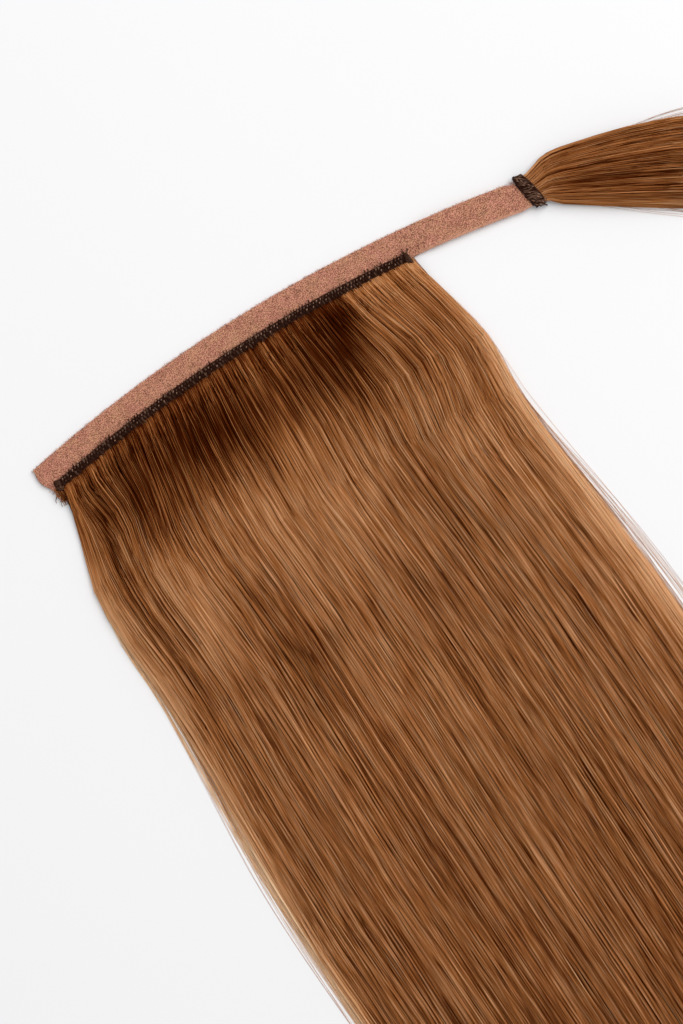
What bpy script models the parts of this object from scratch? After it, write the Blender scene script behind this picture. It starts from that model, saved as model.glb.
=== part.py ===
"""A wrap-around ponytail hairpiece, lying flat on a table with its hair combed straight.

Units are metres and +Z is up. The origin is on the flat underside of the loop tape, at the
middle of the hair weft. The tape runs along X on a gentle arc, and the hair flows to -Y.
"""

import math
from collections import namedtuple

import bmesh
import bpy
import numpy as np
from mathutils import Vector

# Loop tape
TAPE_WIDTH = 0.0100
TAPE_THICKNESS = 0.0016
TAPE_BEND_RADIUS = 0.480
TAPE_HEAD = 0.0028  # tape left of the weft
TAPE_TAIL = 0.0454  # tape right of the weft, up to the middle of the binding
TAPE_GATHER = 0.88  # share of its width that the tape keeps inside the binding
GATHER_RUN = 0.0030  # stretch in which it is drawn in to that width
TAIL_RISE_RUN = 0.0120  # stretch in which the tail lifts off the table
CORNER_CUT = 0.0030  # clipped upper corner of the tape's left end

# Hair weft, sewn on the tape's lower edge
WEFT_LENGTH = 0.1372
WEFT_WIDTH = 0.0036
WEFT_THICKNESS = 0.0013
WEFT_OVERHANG = 0.0013
WEFT_RIB = 0.0005  # height of its two sewn ribs
WEFT_KNOT = 0.0022  # length of the fastened-off end

# Hair curtain
HAIR_LENGTH = 0.400
HAIR_DEPTH = 0.0088  # at the fullest place of its crown
HAIR_EDGE_DEPTH = 0.0016
HAIR_ROOT_DEPTH = 0.0014
HAIR_LOCKS = 24
LOCK_RELIEF = 0.0011

# Wrap lock
WRAP_LENGTH = 0.200
WRAP_WIDTH = 0.0330
WRAP_DEPTH = 0.0070
WRAP_LOCKS = 7
WRAP_TURN = math.radians(-38.0)  # how far it bends away from the tape's own heading

# Wound thread binding round the tape's end and the root of the wrap lock
BINDING_LENGTH = 0.0040
BINDING_WALL = 0.0011
BINDING_TURNS = 4
BINDING_SLANT = math.radians(21.0)
THREAD_RELIEF = 0.00025
OUTER_ROUNDNESS = 0.60  # 1 is an ellipse, and 0 is a box
HOLLOW_ROUNDNESS = 0.33

# Hook pad under the tail
PAD_THICKNESS = 0.0011
PAD_INSET = 0.0006  # the pad is this much narrower than the tape on each side
PAD_END_MARGIN = 0.0030

CLEARANCE = 0.0003

# Worked out from the sizes above
WEFT_END = WEFT_LENGTH / 2
TAPE_START = -WEFT_END - TAPE_HEAD
TAPE_END = WEFT_END + TAPE_TAIL
TAIL_LIFT = CLEARANCE + max(PAD_THICKNESS, BINDING_WALL)
WEFT_LOW_SIDE = -TAPE_WIDTH / 2 - WEFT_OVERHANG
WEFT_UNDERSIDE = TAPE_THICKNESS + CLEARANCE
HAIR_ROOT_SIDE = WEFT_LOW_SIDE - CLEARANCE
SLANT = math.tan(BINDING_SLANT)
BOUND_HALF_WIDTH = TAPE_GATHER * TAPE_WIDTH / 2

# The hair curtain from the weft to its tips. along is a share of HAIR_LENGTH, left and right
# are shares of half the weft, depth is a share of HAIR_DEPTH, lift of the underside is a
# share of the weft's height over the table, and relief is a share of LOCK_RELIEF.
CurtainSection = namedtuple("CurtainSection", "along left right depth lift relief")
CURTAIN = (
    CurtainSection(0.000, 0.985, 0.985, 0.16, 1.00, 0.20),
    CurtainSection(0.022, 1.025, 1.025, 0.30, 0.35, 0.45),
    CurtainSection(0.050, 1.075, 1.065, 0.52, 0.00, 0.70),
    CurtainSection(0.085, 1.150, 1.100, 0.80, 0.00, 0.80),
    CurtainSection(0.130, 1.180, 1.130, 0.98, 0.00, 0.90),
    CurtainSection(0.180, 1.185, 1.140, 0.96, 0.00, 0.90),
    CurtainSection(0.250, 1.195, 1.148, 0.80, 0.00, 0.85),
    CurtainSection(0.350, 1.220, 1.150, 0.76, 0.00, 0.85),
    CurtainSection(0.500, 1.215, 1.150, 0.68, 0.00, 0.90),
    CurtainSection(0.700, 1.190, 1.140, 0.58, 0.00, 1.00),
    CurtainSection(0.850, 1.150, 1.110, 0.44, 0.00, 1.10),
    CurtainSection(1.000, 1.100, 1.070, 0.20, 0.00, 1.00),
)
CURTAIN_ROWS = (0.0, 0.011, 0.022, 0.036, 0.05, 0.067, 0.085, 0.107, 0.13, 0.155, 0.18,
                0.215, 0.25, 0.3, 0.35, 0.425, 0.5, 0.6, 0.7, 0.8, 0.89)

# Hollows pressed into the curtain near the weft. across is a share of half the weft from its
# middle, along is a share of HAIR_LENGTH, width and length are their half sizes in the same
# shares, and depth is a share of HAIR_DEPTH.
Dent = namedtuple("Dent", "across along width length depth")
DENTS = (
    Dent(-0.26, 0.048, 0.20, 0.026, 0.22),
    Dent(0.58, 0.052, 0.13, 0.034, 0.24),
    Dent(-0.78, 0.042, 0.14, 0.022, 0.12),
    Dent(-0.20, 0.235, 0.55, 0.030, 0.08),
)

# The wrap lock from the binding to its tips. along is a share of WRAP_LENGTH, left and right
# are shares of half of WRAP_WIDTH, depth is a share of WRAP_DEPTH, lift is a share of the
# root's height over the table, relief is a share of LOCK_RELIEF, and turn is a share of
# WRAP_TURN.
WrapSection = namedtuple("WrapSection", "along left right depth lift relief turn")
WRAP = (
    WrapSection(0.000, 0.45, 0.28, 0.40, 1.00, 0.10, 0.00),
    WrapSection(0.020, 0.57, 0.30, 0.58, 0.80, 0.30, 0.02),
    WrapSection(0.050, 0.66, 0.43, 0.78, 0.35, 0.60, 0.08),
    WrapSection(0.100, 0.72, 0.61, 0.95, 0.00, 0.80, 0.18),
    WrapSection(0.160, 0.80, 0.76, 1.00, 0.00, 0.90, 0.28),
    WrapSection(0.225, 0.88, 0.87, 0.96, 0.00, 0.90, 0.36),
    WrapSection(0.300, 0.95, 0.95, 0.88, 0.00, 0.95, 0.44),
    WrapSection(0.400, 1.00, 1.00, 0.78, 0.00, 1.00, 0.54),
    WrapSection(0.600, 0.96, 0.96, 0.64, 0.00, 1.00, 0.72),
    WrapSection(0.800, 0.76, 0.76, 0.48, 0.00, 1.00, 0.88),
    WrapSection(1.000, 0.46, 0.46, 0.24, 0.00, 0.80, 1.00),
)
WRAP_ROWS = (0.0, 0.012, 0.02, 0.032, 0.05, 0.075, 0.1, 0.13, 0.16, 0.2, 0.25, 0.32, 0.4,
             0.5, 0.6, 0.7, 0.8, 0.86)
WRAP_BOUND = 0.012  # shares of WRAP_LENGTH at which the binding lets go, and at which
WRAP_FREE = 0.028  # the lock has its free width

# Locks differ in width and fullness, and end at different lengths. The shares repeat.
LOCK_WIDTHS = (1.00, 0.78, 1.22, 0.90, 1.12, 0.72, 1.18)
LOCK_FULLNESS = (0.80, 1.15, 0.60, 1.00, 1.25)
TIP_SETBACKS = (0.004, 0.036, 0.012, 0.052, 0.020, 0.000, 0.044)  # shares of the length
TIP_SWAYS = (0.10, -0.30, 0.22, -0.08, 0.34, -0.18, 0.05, -0.26)  # shares of the lock's width
TIP_ROWS = (0.40, 0.75)  # rings of a tip between its crotch and its point
COLUMNS_PER_LOCK = 4


def arc_point(along, across, up):
    """A point beside the tape's bent centre line."""
    turn = along / TAPE_BEND_RADIUS
    reach = TAPE_BEND_RADIUS + across
    return Vector((reach * math.sin(turn), reach * math.cos(turn) - TAPE_BEND_RADIUS, up))


def ease(start, end, value):
    """0 before start, 1 after end, and a smooth climb between them."""
    share = min(max((value - start) / (end - start), 0.0), 1.0)
    return share * share * (3 - 2 * share)


def tape_lift(along):
    return TAIL_LIFT * ease(WEFT_END, WEFT_END + TAIL_RISE_RUN, along)


def smooth_column(table, column, along):
    """One column of a table at a place between its rows, on a smooth curve."""
    places = np.array([row.along for row in table])
    values = np.array([getattr(row, column) for row in table])
    slopes = np.gradient(values, places)
    i = int(np.clip(np.searchsorted(places, along, side="right") - 1, 0, len(places) - 2))
    span = places[i + 1] - places[i]
    t = (along - places[i]) / span
    from_start = (1 + 2 * t) * (1 - t) ** 2 * values[i] + t * (1 - t) ** 2 * span * slopes[i]
    from_end = t * t * (3 - 2 * t) * values[i + 1] - t * t * (1 - t) * span * slopes[i + 1]
    return float(from_start + from_end)


def material(name, colour, roughness):
    made = bpy.data.materials.new(name)
    made.use_nodes = True
    shader = made.node_tree.nodes["Principled BSDF"]
    shader.inputs["Base Color"].default_value = (*colour, 1.0)
    shader.inputs["Roughness"].default_value = roughness
    shader.inputs["Metallic"].default_value = 0.0
    made.diffuse_color = (*colour, 1.0)
    return made


def finished(name, shape, surface, parent):
    """The bmesh as a named object with outward faces, smooth where its folds are shallow."""
    bmesh.ops.recalc_face_normals(shape, faces=shape.faces)
    mesh = bpy.data.meshes.new(name)
    shape.to_mesh(mesh)
    shape.free()
    mesh.shade_smooth()
    mesh.set_sharp_from_angle(angle=math.radians(40))
    mesh.materials.append(surface)
    made = bpy.data.objects.new(name, mesh)
    made.parent = parent
    bpy.context.scene.collection.objects.link(made)
    return made


def loft(rings):
    """A closed body through rings of equally many points, capped at both ends."""
    shape = bmesh.new()
    loops = [[shape.verts.new(point) for point in ring] for ring in rings]
    for near, far in zip(loops, loops[1:]):
        for i in range(len(near)):
            j = (i + 1) % len(near)
            shape.faces.new((near[i], near[j], far[j], far[i]))
    shape.faces.new(loops[0])
    shape.faces.new(loops[-1])
    return shape


def loop_tape(parent, surface):
    """The soft tape: a flat strip on a gentle arc, with a slanted end inside the binding."""
    bevel = TAPE_THICKNESS / 4
    half = TAPE_WIDTH / 2
    outline = (
        (-half, bevel), (-half + bevel, 0.0), (half - bevel, 0.0), (half, bevel),
        (half, TAPE_THICKNESS - bevel), (half - bevel, TAPE_THICKNESS),
        (-half + bevel, TAPE_THICKNESS), (-half, TAPE_THICKNESS - bevel),
    )
    end = TAPE_END - CLEARANCE / 2
    mouth = end - BINDING_LENGTH / 2 - CLEARANCE
    gather_start = mouth - GATHER_RUN
    stations = [TAPE_START, TAPE_START + CORNER_CUT / 3, TAPE_START + CORNER_CUT]
    stations += list(np.linspace(TAPE_START + CORNER_CUT, WEFT_END, 30)[1:])
    stations += list(np.linspace(WEFT_END, WEFT_END + TAIL_RISE_RUN, 6)[1:])
    stations += list(np.linspace(WEFT_END + TAIL_RISE_RUN, gather_start - half * SLANT, 7)[1:])
    rings = []
    for along in stations:
        clipped = CORNER_CUT / 2 * (1 - ease(0.0, CORNER_CUT, along - TAPE_START))
        rings.append([
            arc_point(along, across - clipped * (across > 0), up + tape_lift(along))
            for across, up in outline
        ])
    for along, width in ((gather_start, 1.0), (mouth, TAPE_GATHER), (end, TAPE_GATHER)):
        rings.append([
            arc_point(along - across * width * SLANT, across * width, up + TAIL_LIFT)
            for across, up in outline
        ])
    return finished("loop_tape", loft(rings), surface, parent)


def weft_track(parent, surface):
    """The sewn band that holds the hair: two ribs of stitches, and a knot at each end."""
    top = WEFT_UNDERSIDE + WEFT_THICKNESS
    rib_profile = (
        (0.00, 0.0), (1.00, 0.0), (1.00, 0.6), (0.88, 1.0), (0.70, 1.0), (0.50, 0.7),
        (0.30, 1.0), (0.12, 1.0), (0.00, 0.6),
    )
    knot = WEFT_KNOT
    stations = [-WEFT_END, -WEFT_END + 0.35 * knot, -WEFT_END + 0.8 * knot]
    stations += list(np.linspace(-WEFT_END + knot, WEFT_END - knot, 40))
    stations += [WEFT_END - 0.8 * knot, WEFT_END - 0.35 * knot, WEFT_END]
    rings = []
    for along in stations:
        from_end = WEFT_END - abs(along)
        swell = 1.0 - ease(0.8 * knot, knot, from_end)
        taper = 0.45 * (1.0 - ease(0.0, 0.35 * knot, from_end))
        ring = []
        for share, height in rib_profile:
            middle = 0.5 + (share - 0.5) * (1 - taper)
            across = WEFT_LOW_SIDE + WEFT_WIDTH * middle
            flat = top - WEFT_RIB
            up = WEFT_UNDERSIDE + (flat - WEFT_UNDERSIDE) * height + WEFT_RIB * (
                height if height < 1 else 1.0 + 0.5 * swell - taper
            )
            ring.append(arc_point(along, across, up if height else WEFT_UNDERSIDE))
        rings.append(ring)
    return finished("weft_track", loft(rings), surface, parent)


def lock_edges(count):
    """Where one lock meets the next, as shares of the whole width."""
    widths = [LOCK_WIDTHS[i % len(LOCK_WIDTHS)] for i in range(count)]
    return [0.0] + [sum(widths[:i + 1]) / sum(widths) for i in range(count)]


def lock_columns(count):
    """Columns of the upper side as (share of the width, lock, share of that lock's width)."""
    edges = lock_edges(count)
    columns = []
    for lock in range(count):
        for step in range(COLUMNS_PER_LOCK):
            within = step / COLUMNS_PER_LOCK
            share = edges[lock] + within * (edges[lock + 1] - edges[lock])
            columns.append((share, lock, within))
    columns.append((1.0, count - 1, 1.0))
    return columns


def bundle_of_locks(count, rows, upper, lower):
    """Locks fused side by side, which part from each other at the last row into tips.

    upper and lower give a point of the upper and under side at a share of the width and a
    share of the length; upper also takes the lock and the place within its width.
    """
    shape = bmesh.new()
    edges = lock_edges(count)
    columns = lock_columns(count)
    tops = [[shape.verts.new(upper(s, row, k, w)) for s, k, w in columns] for row in rows]
    bottoms = [[shape.verts.new(lower(s, row)) for s in edges] for row in rows]
    for r in range(len(rows) - 1):
        for c in range(len(columns) - 1):
            shape.faces.new((tops[r][c], tops[r][c + 1], tops[r + 1][c + 1], tops[r + 1][c]))
        for c in range(count):
            near, far = bottoms[r], bottoms[r + 1]
            shape.faces.new((near[c], far[c], far[c + 1], near[c + 1]))
        for top, bottom in ((0, 0), (-1, -1)):
            near, far = tops[r][top], tops[r + 1][top]
            wall = (near, far, bottoms[r + 1][bottom], bottoms[r][bottom])
            shape.faces.new(wall if top == 0 else wall[::-1])
    for lock in range(count):
        first = lock * COLUMNS_PER_LOCK
        upper_edge = tops[0][first:first + COLUMNS_PER_LOCK + 1]
        shape.faces.new([bottoms[0][lock], bottoms[0][lock + 1], *reversed(upper_edge)])
    for lock in range(count):
        add_tip(shape, lock, edges, rows[-1], tops[-1], bottoms[-1], upper, lower)
    return shape


def add_tip(shape, lock, edges, parting, tops, bottoms, upper, lower):
    """One lock's own end, narrowing from the row where the locks part to a point."""
    first = lock * COLUMNS_PER_LOCK
    width = edges[lock + 1] - edges[lock]
    middle = edges[lock] + width / 2
    sway = width * TIP_SWAYS[lock % len(TIP_SWAYS)]
    length = 1.0 - TIP_SETBACKS[lock % len(TIP_SETBACKS)] - parting
    ring = list(tops[first:first + COLUMNS_PER_LOCK + 1])
    ring += [bottoms[lock + 1], bottoms[lock]]
    for place in TIP_ROWS:
        row = parting + place * length
        centre = middle + sway * place * place
        narrow = width / 2 * (1.0 - place ** 1.6)
        spread = (centre - narrow, centre + narrow)
        upper_edge = []
        for step in range(COLUMNS_PER_LOCK + 1):
            within = step / COLUMNS_PER_LOCK
            share = spread[0] + within * (spread[1] - spread[0])
            upper_edge.append(shape.verts.new(upper(share, row, lock, within)))
        under = [shape.verts.new(lower(share, row)) for share in reversed(spread)]
        following = upper_edge + under
        for i in range(len(ring)):
            j = (i + 1) % len(ring)
            shape.faces.new((ring[i], ring[j], following[j], following[i]))
        ring = following
    end = parting + length
    centre = middle + sway
    point = shape.verts.new((upper(centre, end, lock, 0.0) + lower(centre, end)) / 2)
    for i in range(len(ring)):
        shape.faces.new((ring[i], ring[(i + 1) % len(ring)], point))


def rounded_depth(share, depth, edge_depth):
    """Depth of a bundle across its width: full in the middle, thin and round at its sides."""
    from_middle = abs(2 * share - 1)
    return edge_depth + (depth - edge_depth) * math.sqrt(max(1 - from_middle ** 7, 0.0))


def lock_swell(lock, within):
    fullness = LOCK_FULLNESS[lock % len(LOCK_FULLNESS)]
    return LOCK_RELIEF * fullness * math.sin(math.pi * within)


def hair_curtain(parent, surface):
    """The broad fall of straight hair under the weft."""

    def plan(share, row):
        left = -WEFT_END * smooth_column(CURTAIN, "left", row)
        right = WEFT_END * smooth_column(CURTAIN, "right", row)
        root = (2 * share - 1) * WEFT_END
        start = arc_point(root, HAIR_ROOT_SIDE, 0.0)
        x = left + share * (right - left)
        if row == 0.0:
            x = start.x * CURTAIN[0].left
        return Vector((x, start.y - row * HAIR_LENGTH, 0.0))

    def lift(row):
        return WEFT_UNDERSIDE * smooth_column(CURTAIN, "lift", row)

    def lower(share, row):
        point = plan(share, row)
        point.z = max(lift(row), 0.0)
        return point

    def upper(share, row, lock, within):
        point = lower(share, row)
        full = HAIR_DEPTH * smooth_column(CURTAIN, "depth", row)
        for dent in DENTS:
            across = (point.x / WEFT_END - dent.across) / dent.width
            along = (row - dent.along) / dent.length
            full -= HAIR_DEPTH * dent.depth * math.exp(-across * across - along * along)
        thin = min(HAIR_EDGE_DEPTH, full)
        depth = rounded_depth(share, full, thin)
        relief = smooth_column(CURTAIN, "relief", row) * lock_swell(lock, within)
        point.z += max(depth, HAIR_ROOT_DEPTH / 2) + relief
        return point

    shape = bundle_of_locks(HAIR_LOCKS, CURTAIN_ROWS, upper, lower)
    return finished("hair_curtain", shape, surface, parent)


def wrap_path(row):
    """Place and heading of the wrap lock's centre line, in the frame of the tape's end."""
    steps = 40
    place = Vector((CLEARANCE / 2, 0.0, 0.0))
    for step in range(steps):
        heading = WRAP_TURN * smooth_column(WRAP, "turn", row * (step + 0.5) / steps)
        travel = WRAP_LENGTH * row / steps
        place += travel * Vector((math.cos(heading), math.sin(heading), 0.0))
    return place, WRAP_TURN * smooth_column(WRAP, "turn", row)


def wrap_lock(parent, surface):
    """The loose lock that winds round the finished ponytail, from its root in the binding."""

    def free_share(row):
        return ease(WRAP_BOUND, WRAP_FREE, row)

    def lower(share, row):
        place, heading = wrap_path(row)
        left = smooth_column(WRAP, "left", row) * WRAP_WIDTH / 2
        right = smooth_column(WRAP, "right", row) * WRAP_WIDTH / 2
        free = free_share(row)
        bound = BOUND_HALF_WIDTH * (1 - 2 * share)
        across = bound + free * (left - share * (left + right) - bound)
        side = Vector((-math.sin(heading), math.cos(heading), 0.0))
        point = place + across * side
        point.x -= (1 - free) * across * SLANT
        lift = 1 - free * (1 - smooth_column(WRAP, "lift", row))
        point.z = max(TAIL_LIFT * lift, 0.0)
        return point

    def upper(share, row, lock, within):
        point = lower(share, row)
        full = WRAP_DEPTH * smooth_column(WRAP, "depth", row)
        depth = rounded_depth(share, full, min(HAIR_EDGE_DEPTH, full))
        relief = smooth_column(WRAP, "relief", row) * lock_swell(lock, within)
        point.z += TAPE_THICKNESS + free_share(row) * (depth + relief - TAPE_THICKNESS)
        return point

    shape = bundle_of_locks(WRAP_LOCKS, WRAP_ROWS, upper, lower)
    return finished("wrap_lock", shape, surface, parent)


def lock_binding(parent, surface):
    """Dark thread wound obliquely round the tape's end and the wrap lock's root."""
    inner_across = BOUND_HALF_WIDTH + CLEARANCE
    inner_up = TAPE_THICKNESS / 2 + CLEARANCE
    middle_up = TAIL_LIFT + TAPE_THICKNESS / 2
    half = BINDING_LENGTH / 2
    profile = []
    per_turn = 4
    for step in range(BINDING_TURNS * per_turn + 1):
        share = step / (BINDING_TURNS * per_turn)
        swell = THREAD_RELIEF * abs(math.sin(math.pi * BINDING_TURNS * share))
        profile.append((-half + BINDING_LENGTH * share, BINDING_WALL - THREAD_RELIEF + swell))
    profile += [(half, 0.0), (-half, 0.0)]
    around = 28
    shape = bmesh.new()
    loops = []
    for step in range(around):
        angle = 2 * math.pi * step / around
        side, top = math.cos(angle), math.sin(angle)
        loop = []
        for along, wall in profile:
            oval = HOLLOW_ROUNDNESS + wall / BINDING_WALL * (OUTER_ROUNDNESS - HOLLOW_ROUNDNESS)
            across = math.copysign(abs(side) ** oval, side) * (inner_across + wall)
            up = middle_up + math.copysign(abs(top) ** oval, top) * (inner_up + wall)
            loop.append(shape.verts.new((along - across * SLANT, across, up)))
        loops.append(loop)
    for i in range(around):
        near, far = loops[i], loops[(i + 1) % around]
        for j in range(len(profile)):
            k = (j + 1) % len(profile)
            shape.faces.new((near[j], near[k], far[k], far[j]))
    return finished("lock_binding", shape, surface, parent)


def hook_pad(parent, surface):
    """The plain hook pad under the tail, which grips the loops when the tape is wound on."""
    half = TAPE_WIDTH / 2 - PAD_INSET
    start = WEFT_END + TAIL_RISE_RUN
    end = TAPE_END - TAPE_WIDTH / 2 * SLANT - BINDING_LENGTH / 2 - PAD_END_MARGIN
    top = TAIL_LIFT - CLEARANCE
    outline = ((-half, top - PAD_THICKNESS), (half, top - PAD_THICKNESS), (half, top),
               (-half, top))
    rings = [[arc_point(along, across, up) for across, up in outline]
             for along in np.linspace(start, end, 9)]
    return finished("hook_pad", loft(rings), surface, parent)


def clear_scene():
    for found in list(bpy.data.objects):
        bpy.data.objects.remove(found, do_unlink=True)


def build():
    clear_scene()
    hairpiece = bpy.data.objects.new("hairpiece", None)
    tape_end = bpy.data.objects.new("tape_end", None)
    for empty in (hairpiece, tape_end):
        bpy.context.scene.collection.objects.link(empty)
    tape_end.parent = hairpiece
    tape_end.location = arc_point(TAPE_END, 0.0, 0.0)
    tape_end.rotation_euler = (0.0, 0.0, -TAPE_END / TAPE_BEND_RADIUS)

    pile = material("tape_pile", (0.420, 0.178, 0.112), 0.95)
    thread = material("dark_thread", (0.055, 0.021, 0.012), 0.60)
    hair = material("hair", (0.270, 0.102, 0.034), 0.40)
    hooks = material("hook_plastic", (0.300, 0.130, 0.085), 0.55)

    loop_tape(hairpiece, pile)
    weft_track(hairpiece, thread)
    hair_curtain(hairpiece, hair)
    hook_pad(hairpiece, hooks)
    lock_binding(tape_end, thread)
    wrap_lock(tape_end, hair)


build()
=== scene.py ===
import math
from collections import namedtuple

import bpy
import numpy as np
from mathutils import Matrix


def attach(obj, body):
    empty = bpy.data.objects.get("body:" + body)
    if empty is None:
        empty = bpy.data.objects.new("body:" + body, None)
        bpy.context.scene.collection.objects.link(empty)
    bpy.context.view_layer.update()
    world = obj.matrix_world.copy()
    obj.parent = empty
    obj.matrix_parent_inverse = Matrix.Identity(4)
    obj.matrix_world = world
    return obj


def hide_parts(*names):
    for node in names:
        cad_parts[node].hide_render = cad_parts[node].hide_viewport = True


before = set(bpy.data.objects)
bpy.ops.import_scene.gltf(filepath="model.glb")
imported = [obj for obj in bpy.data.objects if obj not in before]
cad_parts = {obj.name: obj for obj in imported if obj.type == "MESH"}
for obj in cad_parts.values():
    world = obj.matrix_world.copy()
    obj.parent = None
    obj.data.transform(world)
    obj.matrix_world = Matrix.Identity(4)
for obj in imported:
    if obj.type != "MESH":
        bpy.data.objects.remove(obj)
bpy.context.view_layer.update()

# Camera, table and light
# The hairpiece lies on a pale tabletop and is seen from straight above, turned so that the
# tape climbs to the right. One wide soft light stands past the top of the picture.
PIXEL = 0.000325  # what one pixel of the picture covers on the hair
PICTURE_HEIGHT = 1024  # pixels
PICTURE_TURN = math.radians(33.2)  # from the picture's upright to the fall of the hair
VIEW_MIDDLE = (0.0044, -0.0669)
VIEW_HEIGHT = 1.005
SENSOR = 36.0
KEY_DISTANCE = 2.20
KEY_ELEVATION = math.radians(56.0)
KEY_SIDE = math.radians(35.0)  # how far it stands to the right of the picture's top
KEY_SIZE = 2.00
KEY_POWER = 36.0
SKY = 0.56
TABLE_SIZE = 6.0

camera_data = bpy.data.cameras.new("overhead_camera")
camera_data.sensor_width = SENSOR
camera_data.lens = SENSOR * (VIEW_HEIGHT - 0.005) / (PICTURE_HEIGHT * PIXEL)
camera = bpy.data.objects.new("overhead_camera", camera_data)
camera.location = (*VIEW_MIDDLE, VIEW_HEIGHT)
camera.rotation_euler = (0.0, 0.0, -PICTURE_TURN)
bpy.context.scene.collection.objects.link(camera)
bpy.context.scene.camera = camera

key_turn = PICTURE_TURN + KEY_SIDE
light_data = bpy.data.lights.new("window_light", "AREA")
light_data.size = KEY_SIZE
light_data.energy = KEY_POWER
light = bpy.data.objects.new("window_light", light_data)
toward_light = np.array([
    math.sin(key_turn) * math.cos(KEY_ELEVATION), math.cos(key_turn) * math.cos(KEY_ELEVATION),
    math.sin(KEY_ELEVATION),
])
light.location = toward_light * KEY_DISTANCE + (*VIEW_MIDDLE, 0.0)
light.rotation_euler = (
    0.0, math.pi / 2 - KEY_ELEVATION, math.atan2(toward_light[1], toward_light[0])
)
bpy.context.scene.collection.objects.link(light)

world = bpy.data.worlds.new("studio")
world.use_nodes = True
sky = world.node_tree.nodes["Background"].inputs
sky["Color"].default_value = (1.0, 1.0, 1.0, 1.0)
sky["Strength"].default_value = SKY
bpy.context.scene.world = world
bpy.context.scene.view_settings.view_transform = "Standard"


class Socket:
    """An output of a material's node. Arithmetic on it adds the nodes that work it out."""

    def __init__(self, tree, output=None):
        self.tree = tree
        self.output = output

    def node(self, kind, settings=None, inputs=None, take=0):
        """Adds a node: its settings come first, then the values or links of its inputs."""
        made = self.tree.nodes.new(kind)
        for name, value in (settings or {}).items():
            if name == "stops":
                ramp = made.color_ramp.elements
                while len(ramp) < len(value):
                    ramp.new(1.0)
                for stop, (place, colour) in zip(ramp, value):
                    stop.position = place
                    stop.color = (*colour, 1.0)
            else:
                setattr(made, name, value)
        for name, value in (inputs or {}).items():
            self.feed(made.inputs[name], value)
        return Socket(self.tree, made.outputs[take])

    def feed(self, socket, value):
        if isinstance(value, Socket):
            self.tree.links.new(value.output, socket)
        else:
            socket.default_value = value

    def join(self, operation, left, right):
        """left and right by a Mix of colours, a Vector Math node or a Math node."""
        kinds = [side.output.type for side in (left, right) if isinstance(side, Socket)]
        if "RGBA" in kinds:
            settings = {"data_type": "RGBA", "blend_type": operation}
            return self.node("ShaderNodeMix", settings, {0: 1.0, 6: left, 7: right}, take=2)
        kind = "ShaderNodeVectorMath" if "VECTOR" in kinds else "ShaderNodeMath"
        return self.node(kind, {"operation": operation}, {0: left, 1: right})

    def __add__(self, other):
        return self.join("ADD", self, other)

    def __radd__(self, other):
        return self.join("ADD", other, self)

    def __sub__(self, other):
        return self.join("SUBTRACT", self, other)

    def __rsub__(self, other):
        return self.join("SUBTRACT", other, self)

    def __mul__(self, other):
        return self.join("MULTIPLY", self, other)

    def __rmul__(self, other):
        return self.join("MULTIPLY", other, self)

    def between(self, low, high):
        """A colour from low, where this value is 0, to high, where it is 1."""
        settings = {"data_type": "RGBA", "clamp_factor": True}
        return self.node("ShaderNodeMix", settings, {0: self, 6: low, 7: high}, take=2)

    def read(self, name, take="Fac"):
        """What an attribute of the mesh says at each point."""
        return self.node("ShaderNodeAttribute", {"attribute_name": name}, take=take)

    def bump(self, inputs, strength, distance):
        """Raises a shader's surface where this value is high."""
        settings = {"Strength": strength, "Distance": distance, "Height": self}
        self.feed(inputs["Normal"], self.node("ShaderNodeBump", {}, settings))


def new_finish(name, roughness, metallic=0.0, sheen=0.0, gloss=0.5, tint=(1.0, 1.0, 1.0, 1.0)):
    """A material, its shader's inputs, and a start for its node expressions."""
    made = bpy.data.materials.new(name)
    made.use_nodes = True
    inputs = made.node_tree.nodes["Principled BSDF"].inputs
    for key, value in (("Roughness", roughness), ("Metallic", metallic), ("Sheen Weight", sheen),
                       ("Specular IOR Level", gloss), ("Specular Tint", tint)):
        inputs[key].default_value = value
    return made, inputs, Socket(made.node_tree)


def rgb(red, green, blue):
    """A colour given as it looks on a screen, 0 to 255, as the shader's own values."""
    shares = [value / 255 for value in (red, green, blue)]
    return (*[s / 12.92 if s < 0.04045 else ((s + 0.055) / 1.055) ** 2.4 for s in shares], 1.0)


def grain(start, size, detail=2.0, stretch=(1.0, 1.0, 1.0)):
    """Noise from 0 to 1 with grains of about the given size in metres."""
    place = start.node("ShaderNodeTexCoord", take="Object") * stretch
    inputs = {"Vector": place, "Scale": 1 / size, "Detail": detail}
    return start.node("ShaderNodeTexNoise", {}, inputs)


table_finish, table_inputs, table_start = new_finish("pale_tabletop", roughness=0.75, gloss=0.1)
table_cloud = grain(table_start, 0.35, detail=1.0)
table_start.feed(table_inputs["Base Color"], table_cloud.between(
    (0.885, 0.885, 0.895, 1.0), (0.905, 0.903, 0.912, 1.0)
))
half = TABLE_SIZE / 2
table_mesh = bpy.data.meshes.new("tabletop")
table_mesh.from_pydata(
    [(-half, -half, 0.0), (half, -half, 0.0), (half, half, 0.0), (-half, half, 0.0)],
    [], [(0, 1, 2, 3)],
)
table_mesh.materials.append(table_finish)
table = bpy.data.objects.new("tabletop", table_mesh)
bpy.context.scene.collection.objects.link(table)


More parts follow.
